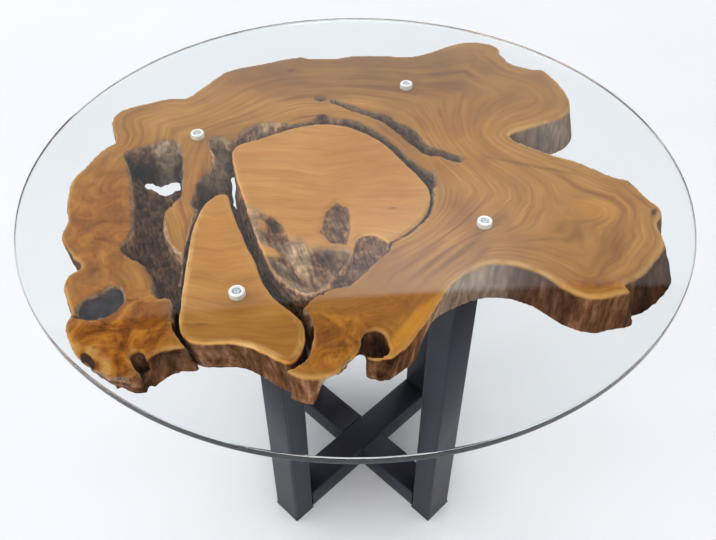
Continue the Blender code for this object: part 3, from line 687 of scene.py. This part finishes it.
def smooth_step(values, low, high):
    """0 below low, 1 above high."""
    share = np.clip((values - low) / (high - low), 0.0, 1.0)
    return share * share * (3.0 - 2.0 * share)


def evaluated(item):
    """The mesh of an object with its modifiers. The object is removed."""
    graph = bpy.context.evaluated_depsgraph_get()
    mesh = bpy.data.meshes.new_from_object(item.evaluated_get(graph))
    bpy.data.objects.remove(item, do_unlink=True)
    return mesh


def dense_mesh(node, voxel):
    """A fine, even mesh of a CAD node, with larger faces on its level underside."""
    item = bpy.data.objects.new(node + "_source", welded(node))
    bpy.context.scene.collection.objects.link(item)
    step = item.modifiers.new("even", "REMESH")
    step.mode = "VOXEL"
    step.voxel_size = voxel
    mesh = evaluated(item)
    corners = np.empty(len(mesh.loops), np.int64)
    mesh.loops.foreach_get("vertex_index", corners)
    low = points_of(mesh)[:, 2] < SLAB_UNDERSIDE + LEVEL
    quads = corners.reshape(-1, 4)
    level = low[quads].all(axis=1)
    edge = np.unique(quads[~level])
    low[edge] = False
    item = bpy.data.objects.new(node + "_dense", mesh)
    bpy.context.scene.collection.objects.link(item)
    item.vertex_groups.new(name="under").add(np.flatnonzero(low).tolist(), 1.0, "REPLACE")
    step = item.modifiers.new("thin", "DECIMATE")
    step.vertex_group = "under"
    step.ratio = 1.0 - UNDERSIDE_THINNING * level.mean()
    return evaluated(item)


def smoothed(mesh, places, chosen, rounds):
    """Places with the chosen points drawn towards their neighbours."""
    ends = np.empty(len(mesh.edges) * 2, np.int64)
    mesh.edges.foreach_get("vertices", ends)
    first, second = ends.reshape(-1, 2).T
    count = np.bincount(ends, minlength=len(places))[:, None]
    for _ in range(rounds):
        total = np.zeros_like(places)
        np.add.at(total, first, places[second])
        np.add.at(total, second, places[first])
        places = np.where(chosen[:, None], 0.5 * places + 0.5 * total / count, places)
    return places


def store(mesh, name, values):
    """Keeps a value at each point of a mesh."""
    made = mesh.attributes.new(name, "FLOAT", "POINT")
    made.data.foreach_set("value", np.asarray(values, np.float32))


def blob(places, middle, reach, turn=0.0):
    """1 at the middle of an oval on the grid, falling to 0 beyond its edge."""
    x = places[:, 0] / GRID - middle[0]
    y = places[:, 1] / GRID - middle[1]
    c = math.cos(math.radians(turn))
    s = math.sin(math.radians(turn))
    away = np.hypot((c * x + s * y) / reach[0], (c * y - s * x) / reach[1])
    return 1.0 - smooth_step(away, 0.55, 1.25)


def blobs(places, rows):
    """The strongest of several ovals at each place."""
    return np.max([strength * blob(places, *oval) for *oval, strength in rows], axis=0)


def within(places, outline, soft):
    """1 inside an outline on the grid, 0 outside, one half on its edge."""
    corners = np.array(outline, float) * GRID
    away = nearest(places, sampled(corners))
    x, y = places[:, 0], places[:, 1]
    inside = np.zeros(len(places), bool)
    for (ax, ay), (bx, by) in zip(corners, np.roll(corners, -1, axis=0)):
        if ay != by:
            inside ^= ((ay > y) != (by > y)) & (x < ax + (bx - ax) * (y - ay) / (by - ay))
    return np.clip(0.5 + np.where(inside, away, -away) / (2.0 * soft), 0.0, 1.0)


def patched(places, outlines, soft):
    """The union of several outlines."""
    return np.max([within(places, outline, soft) for outline in outlines], axis=0)


def strands(places):
    """Noise drawn out along the grain of the rotten wood."""
    ahead = places[:, 0] * GRAIN_WAY[0] + places[:, 1] * GRAIN_WAY[1]
    across = places[:, 1] * GRAIN_WAY[0] - places[:, 0] * GRAIN_WAY[1]
    return rough_field(np.stack((across * 300.0, ahead * 42.0, places[:, 2] * 90.0), axis=1), 1.0)


def make_root(look, core_edge, wedge_edge):
    """The large section of root, with its bark-lined hollows."""
    source = welded("root_slab")
    near_pieces = np.concatenate((core_edge, wedge_edge))
    below = level_loops(source, SLAB_UNDERSIDE)[0]
    below = below[nearest(below, near_pieces) > INNER_REACH]
    edge = np.concatenate(level_loops(source, SLAB_TOP))
    is_outer = nearest(edge, below) < LEAN_REACH
    outer = edge[is_outer]
    inner = edge[~is_outer]

    mesh = dense_mesh("root_slab", ROOT_VOXEL)
    places = points_of(mesh)
    deep = SLAB_TOP - places[:, 2]
    to_outer = nearest(places, outer)
    to_inner = nearest(places, inner)
    to_core = nearest(places, core_edge)
    is_top = deep < LEVEL
    is_under = places[:, 2] < SLAB_UNDERSIDE + LEVEL
    hollow = ~is_top & ~is_under & ((to_inner < to_outer) | (within(places, LEFT_HOLLOW, LEVEL) > 0.5))
    flank = ~is_top & ~is_under & ~hollow
    places = smoothed(mesh, places, hollow, HOLLOW_ROUNDS)
    places = smoothed(mesh, places, flank, FLANK_ROUNDS)
    finish_wood(mesh, places, is_top, is_under)
    normals = normals_of(mesh)
    ridges = rough_field(places * (1.0, 1.0, 0.3), 110.0)
    crust = BARK_LUMPS * rough_field(places, 70.0) + BARK_STRANDS * strands(places)
    grown = FLANK_RIDGES * ridges + FLANK_LUMPS * rough_field(places, 45.0) - FLANK_LUMPS
    push = np.select((hollow, flank), (crust, grown), 0.0)
    places = places + normals * push[:, None]
    finish_wood(mesh, places, is_top, is_under)

    ring = RING_WIDTH * to_outer / (to_outer + to_core + 1e-6)
    eye = np.hypot(places[:, 0] / GRID - EYE[0], (places[:, 1] / GRID - EYE[1]) * 1.5) * GRID
    share = np.exp(-((eye / EYE_REACH) ** 2))
    ring = ring * (1.0 - share) + (EYE_RING - eye * 0.8) * share
    halo = 0.5 * (1.0 - smooth_step(to_inner, 0.0, STAIN_HALO)) * is_top
    store(mesh, "ring", ring + RING_WANDER * rough_field(places, 22.0, 3))
    rims = blobs(places, ROOT_RIMS) * (1.0 - smooth_step(to_outer, *ROOT_RIM))
    store(mesh, "sap", np.maximum(rims, blobs(places, ROOT_SAP)))
    store(mesh, "gold", blobs(places, ROOT_GOLD))
    store(mesh, "calm", blobs(places, ROOT_CALM))
    sunk = SLAB_TOP - places[:, 2]
    store(mesh, "bark", np.where(hollow, np.clip(sunk / BARK_DEPTH, 0.25, 1.0), 0.0))
    # deep: how far down a hollow each point lies, for the bark's painted shade
    store(mesh, "deep", np.where(hollow, sunk / PAINTED_SHADE_DEPTH, 0.0))
    store(mesh, "side", np.where(flank, smooth_step(deep, *EDGE_DEPTH), 0.0))
    store(mesh, "burl", blobs(places, ROOT_BURL))
    # Sides: their tone, less the painted shade
    side_tone_and_painted_shading = blobs(places, ROOT_SIDE_TONES) - blobs(places, ROOT_SIDE_PAINTED_SHADE)
    # Hollows: lighter bark patches, less the painted shade
    bark_tone = blobs(places, HOLLOW_LIGHTS) - blobs(places, HOLLOW_PAINTED_SHADE)
    face_tone = blobs(places, ROOT_TONES) - blobs(places, ROOT_SHADES)
    store(mesh, "tone", np.select((flank, hollow), (side_tone_and_painted_shading, bark_tone), face_tone))
    store(mesh, "stain", np.maximum(blobs(places, ROOT_STAINS), halo))
    pale_bark = patched(places, PALE_BARK, BARK_BLUR)
    store(mesh, "pale", np.where(hollow, pale_bark, blobs(places, ROOT_PALE)))
    store(mesh, "worn", np.where(hollow, 1.0, 0.0))
    store(mesh, "slate", hollow * within(places, LEFT_HOLLOW, SLATE_BLUR))
    return finished_wood("root_slab", mesh, look, "root_wood")


def make_piece(node, look, slot, edge, arc, bark_outlines, worn_outlines, stains, rims, side_tone_and_painted_shading, swell):
    """A separate section of root."""
    mesh = dense_mesh(node, PIECE_VOXEL)
    places = points_of(mesh)
    deep = SLAB_TOP - places[:, 2]
    to_edge = nearest(places, edge)
    is_top = deep < LEVEL
    is_under = places[:, 2] < SLAB_UNDERSIDE + LEVEL
    flank = ~is_top & ~is_under
    places = smoothed(mesh, places, flank, FLANK_ROUNDS)
    normals = normals_of(mesh)
    ridges = rough_field(places * (1.0, 1.0, 0.3), 110.0)
    push = PIECE_RIDGES * ridges - PIECE_INSET
    if swell:
        push += SWELL_REACH * within(places, swell, SWELL_BLUR) * smooth_step(deep, *SWELL_DEPTH)
    places = places + normals * np.where(flank, push, 0.0)[:, None]
    bark = np.zeros(len(places))
    worn = np.zeros(len(places))
    if bark_outlines:
        sound = np.clip(1.0 - blobs(places, CORE_SOUND), 0.0, 1.0)
        bark = patched(places, bark_outlines, BARK_BLUR) * sound
        worn = patched(places, worn_outlines, WORN_BLUR) * sound
        bark = np.maximum(bark, flank * smooth_step(deep, *EDGE_DEPTH))
        sunk = bark * BARK_SINK + worn * (WORN_SINK + WORN_STRANDS * strands(places))
        places[:, 2] -= np.where(is_top, np.maximum(sunk, 0.0), 0.0)
    finish_wood(mesh, places, is_top & (bark + worn < 0.02), is_under)
    swing = np.hypot(places[:, 0] - arc[0] * GRID, places[:, 1] - arc[1] * GRID)
    store(mesh, "ring", 0.25 * to_edge + 0.8 * swing + RING_WANDER * rough_field(places, 18.0, 3))
    store(mesh, "sap", blobs(places, rims) * (1.0 - smooth_step(to_edge, *PIECE_RIM)))
    store(mesh, "bark", bark)
    store(mesh, "side", np.where(flank, smooth_step(deep, *EDGE_DEPTH), 0.0))
    bark_tone = np.minimum(bark + worn, 1.0) * (blobs(places, CORE_LIGHTS) - blobs(places, CORE_SHADES))
    # Tops: the bark's own patches, less painted shade towards the front
    store(mesh, "tone", np.where(flank, side_tone_and_painted_shading, bark_tone - 0.6 * blobs(places, FRONT_PAINTED_SHADE)))
    store(mesh, "stain", blobs(places, stains))
    store(mesh, "worn", worn)
    for name in ("gold", "calm", "deep", "burl", "pale", "slate"):
        store(mesh, name, np.zeros(len(places)))
    return finished_wood(node, mesh, look, slot)


def normals_of(mesh):
    """The normal at each point."""
    flat = np.empty(len(mesh.vertices) * 3, np.float32)
    mesh.vertex_normals.foreach_get("vector", flat)
    return flat.reshape(-1, 3).astype(float)


def finish_wood(mesh, places, is_top, is_under):
    """Writes the points back, with the level faces truly level."""
    places[is_top, 2] = SLAB_TOP
    places[is_under, 2] = SLAB_UNDERSIDE
    np.clip(places[:, 2], SLAB_UNDERSIDE, SLAB_TOP, out=places[:, 2])
    mesh.vertices.foreach_set("co", places.astype(np.float32).ravel())
    mesh.update()


def finished_wood(node, mesh, look, slot):
    """The section of root as a piece of the table."""
    soften(mesh, WOOD_CREASE)
    return settle(add_object(node + "_look", mesh, look), "table", slot, node)


def turned(profile, steps):
    """A mesh turned about Z from a profile of (radius, height)."""
    shape = bmesh.new()
    rings = []
    for radius, height in profile:
        if radius < 1e-9:
            rings.append([shape.verts.new((0.0, 0.0, height))])
            continue
        turns = [math.tau * i / steps for i in range(steps)]
        rings.append([shape.verts.new((radius * math.cos(t), radius * math.sin(t), height)) for t in turns])
    for upper, lower in zip(rings[:-1], rings[1:]):
        for i in range(steps):
            j = (i + 1) % steps
            corners = [upper[i % len(upper)], lower[i % len(lower)]]
            corners += [lower[j % len(lower)], upper[j % len(upper)]]
            unique = list(dict.fromkeys(corners))
            if len(unique) > 2:
                shape.faces.new(unique)
    bmesh.ops.recalc_face_normals(shape, faces=shape.faces)
    mesh = bpy.data.meshes.new("turned")
    shape.to_mesh(mesh)
    shape.free()
    return mesh


def make_glass(look, edge_look):
    """The round top with a rounded, polished edge."""
    low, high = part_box("glass_top")
    radius = high.x
    thick = high.z - low.z
    soft = GLASS_EDGE * thick
    flat = radius - soft
    bend = [math.pi / 2 * i / EDGE_STEPS for i in range(EDGE_STEPS + 1)]
    rim = [(flat + soft * math.sin(t), thick - soft + soft * math.cos(t)) for t in bend]
    profile = [(0.0, thick), (flat / 2, thick), *rim]
    profile += [(r, thick - h) for r, h in reversed(rim)] + [(flat / 2, 0.0), (0.0, 0.0)]
    mesh = turned(profile, GLASS_STEPS)
    mesh.transform(Matrix.Translation((0.0, 0.0, low.z)))
    item = add_object("glass_look", mesh, look, edge_look)
    mesh.shade_smooth()
    for face in mesh.polygons:
        level = abs(face.normal.z) > 0.9999
        face.use_smooth = not level
        face.material_index = int(not level)
    item.visible_shadow = False
    return settle(item, "glass", "glass", "glass_top")


def make_bumper(node, look, top_look):
    """A soft clear disc with a pale top, sides coloured darker as painted shade and partly as the wood seen
    through them, and a sunk middle.
    """
    low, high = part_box(node)
    radius = (high.x - low.x) / 2
    tall = high.z - low.z
    hole = 0.28 * radius
    sink = 0.46 * radius
    profile = (
        (sink, 0.5 * tall), (sink + 0.02 * radius, 0.6 * tall), (sink + 0.13 * radius, 0.96 * tall),
        (0.66 * radius, tall), (0.78 * radius, tall), (0.88 * radius, 0.95 * tall),
        (0.94 * radius, 0.84 * tall), (radius, 0.14 * tall), (0.99 * radius, 0.05 * tall),
        (0.95 * radius, 0.0), (hole, 0.0), (hole, 0.5 * tall), (sink, 0.5 * tall),
    )
    mesh = turned(profile, BUMPER_STEPS)
    weld(mesh)
    mesh.transform(Matrix.Translation(((low.x + high.x) / 2, (low.y + high.y) / 2, low.z)))
    soften(mesh, CREASE)
    item = add_object(node + "_look", mesh, look, top_look)
    for face in mesh.polygons:
        # Up-facing faces take the pale top; the rest take the darker side colour, which is painted shade
        face.material_index = int(face.normal.z > 0.35)
    return settle(item, "table", "clear_plastic", node)


def dress(node, body, slot, look, degrees=CREASE):
    """A CAD node's shape with smooth shading and its finish."""
    mesh = welded(node)
    soften(mesh, degrees)
    return settle(add_object(node + "_look", mesh, look), body, slot, node)


def make_floor():
    """A plain floor."""
    mesh = bpy.data.meshes.new("floor")
    half = FLOOR_SIZE / 2
    mesh.from_pydata(
        [(-half, -half, 0.0), (half, -half, 0.0), (half, half, 0.0), (-half, half, 0.0)],
        [],
        [(0, 1, 2, 3)],
    )
    add_object("floor", mesh, floor_material())


def pale(strength):
    """White light, a little cool."""
    return (0.98 * strength, strength, 1.03 * strength)


def add_soft_box(name, turn, tall, light):
    """An upright soft light that faces the table, unseen by the camera and by plain mirroring."""
    lamp = bpy.data.lights.new(name + "_box", "AREA")
    lamp.shape = "RECTANGLE"
    lamp.size = BOX_WIDTH
    lamp.size_y = tall
    lamp.color = pale(1.0)
    lamp.energy = light * math.pi * BOX_WIDTH * tall
    item = bpy.data.objects.new(name + "_box", lamp)
    x, y = BOX_DISTANCE * math.sin(turn), -BOX_DISTANCE * math.cos(turn)
    item.location = (x, y, BOX_FOOT + tall / 2)
    item.rotation_euler = (math.pi / 2, 0.0, turn)
    item.visible_camera = False
    item.visible_glossy = False
    bpy.context.scene.collection.objects.link(item)


def make_room():
    """Dim walls to a bent top edge, which the glass mirrors, with the soft boxes and a lamp above."""
    world = bpy.data.worlds.new("room")
    bpy.context.scene.world = world
    world.use_nodes = True
    tree = world.node_tree
    back = tree.nodes["Background"]
    way = new_node(tree, "ShaderNodeTexCoord").outputs["Generated"]
    axes = new_node(tree, "ShaderNodeSeparateXYZ", {0: way})
    x, y, z = axes.outputs[0], axes.outputs[1], axes.outputs[2]
    out = calc(tree, "MAXIMUM", calc(tree, "ABSOLUTE", x), calc(tree, "ABSOLUTE", y))
    out = calc(tree, "MAXIMUM", out, 0.001)
    across = calc(tree, "DIVIDE", x, out)
    tilt = calc(tree, "MULTIPLY", across, calc(tree, "MULTIPLY_ADD", across, WALL_BEND, WALL_SLOPE))
    rise = calc(tree, "SUBTRACT", calc(tree, "DIVIDE", z, out), tilt)
    above = fade(tree, rise, WALL_RISE - WALL_BLUR, WALL_RISE + WALL_BLUR)
    behind = calc(tree, "SUBTRACT", y, calc(tree, "ABSOLUTE", x))
    behind = fade(tree, behind, -CORNER_BLUR, CORNER_BLUR)
    up = fade(tree, rise, 0.0, WALL_RISE)
    wall = mixed(tree, up, pale(WALL_LIGHT_LOW), pale(WALL_LIGHT_HIGH))
    aside = calc(tree, "ABSOLUTE", calc(tree, "SUBTRACT", across, GLOW_SIDE))
    glow = calc(tree, "MULTIPLY", fade(tree, aside, *GLOW_REACH), fade(tree, rise, GLOW_FOOT, WALL_RISE))
    glow = calc(tree, "MULTIPLY", glow, behind)
    wall = mixed(tree, glow, wall, pale(WALL_LIGHT_HIGH + GLOW_LIGHT))
    wall = scaled(tree, wall, fade(tree, across, *LEFT_REACH, LEFT_DIMMING, RIGHT_GAIN))
    tree.links.new(mixed(tree, above, wall, pale(CEILING_LIGHT)), back.inputs["Color"])
    for name, turn, tall, light in SOFT_BOXES:
        add_soft_box(name, math.radians(turn), tall, light)
    lamp = bpy.data.lights.new("key", "AREA")
    lamp.shape = "DISK"
    lamp.size = KEY_SIZE
    lamp.energy = KEY_POWER
    item = bpy.data.objects.new("key", lamp)
    bpy.context.scene.collection.objects.link(item)
    item.location = KEY_PLACE
    aim = Vector(KEY_TARGET) - Vector(KEY_PLACE)
    item.rotation_euler = aim.to_track_quat("-Z", "Y").to_euler()


def make_camera():
    """The photograph's point of view."""
    lens = bpy.data.cameras.new("camera")
    lens.sensor_fit = "HORIZONTAL"
    lens.sensor_width = SENSOR
    lens.lens = SENSOR * PHOTO_FOCAL / PHOTO_WIDTH
    lens.clip_start = 0.01
    item = bpy.data.objects.new("camera", lens)
    bpy.context.scene.collection.objects.link(item)
    item.location = CAMERA_PLACE
    item.rotation_euler = (math.pi / 2 - CAMERA_PITCH, 0.0, -CAMERA_YAW)
    bpy.context.scene.camera = item


root_look = wood_material(
    "root_wood_look",
    dark=(0.195, 0.075, 0.012),
    middle=(0.285, 0.125, 0.023),
    light=(0.40, 0.195, 0.045),
    streak=(0.165, 0.052, 0.012),
    figure=0.95,
)
core_look = wood_material(
    "core_wood_look",
    dark=(0.33, 0.138, 0.028),
    middle=(0.395, 0.183, 0.046),
    light=(0.455, 0.228, 0.068),
    streak=(0.34, 0.125, 0.026),
    figure=0.72,
)
wedge_look = wood_material(
    "wedge_wood_look",
    dark=(0.30, 0.118, 0.017),
    middle=(0.385, 0.165, 0.030),
    light=(0.46, 0.22, 0.052),
    streak=(0.31, 0.105, 0.017),
    figure=0.65,
)
core_edge = level_loops(welded("core_piece"), SLAB_TOP)[0]
wedge_edge = level_loops(welded("wedge_piece"), SLAB_TOP)[0]
make_root(root_look, core_edge, wedge_edge)
make_piece(
    "core_piece",
    core_look,
    "core_wood",
    core_edge,
    arc=CORE_ARC,
    bark_outlines=CORE_BARK,
    worn_outlines=CORE_WORN,
    stains=CORE_STAINS,
    rims=CORE_RIMS,
    # Painted light: the core's sides, shaded in a narrow gap, made brighter to look lit
    side_tone_and_painted_shading=0.9,
    swell=CORE_SWELL,
)
make_piece(
    "wedge_piece",
    wedge_look,
    "wedge_wood",
    wedge_edge,
    arc=WEDGE_ARC,
    bark_outlines=(),
    worn_outlines=(),
    stains=WEDGE_STAINS,
    rims=WEDGE_RIMS,
    side_tone_and_painted_shading=0.3,
    swell=(),
)

make_glass(
    clear_material("glass_look", (0.955, 0.985, 0.980), (0.965, 0.990, 0.985), 0.0, 1.52),
    clear_material("glass_edge_look", (0.62, 0.68, 0.67), (0.68, 0.74, 0.73), 0.02, 1.52),
)
# Bumper sides darker and browner than the top: painted shade round the disc, partly the wood seen through
# the clear plastic
plastic = clear_material("bumper_look", (0.46, 0.41, 0.33), (0.54, 0.49, 0.40), 0.5, 1.45, 0.4)
pale_top = clear_material("bumper_top_look", (0.66, 0.66, 0.64), (0.74, 0.74, 0.72), 0.45, 1.45, 0.1)
steel = coat_material("steel_look", (0.50, 0.52, 0.55), (0.60, 0.62, 0.65), 0.42, 0.05 * MM, metallic=0.2)
powder = coat_material(
    "powder_coat_look", (0.006, 0.006, 0.011), (0.012, 0.012, 0.020), 0.40, 0.08 * MM, shine=0.37
)
rubber = coat_material("foot_plastic_look", (0.016, 0.016, 0.017), (0.028, 0.028, 0.030), 0.55, 0.1 * MM)
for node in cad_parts:
    if node.startswith(("bumper_screw", "frame_screw", "strap")):
        dress(node, "table", "steel", steel, STEEL_CREASE)
    elif node.startswith("bumper"):
        make_bumper(node, plastic, pale_top)
    elif node.startswith(("leg", "bottom_rail", "top_rail")):
        dress(node, "table", "black_steel", powder)
    elif node.startswith("foot_cap"):
        dress(node, "table", "black_plastic", rubber)

make_floor()
make_room()
make_camera()
bpy.context.scene.view_settings.view_transform = "Standard"
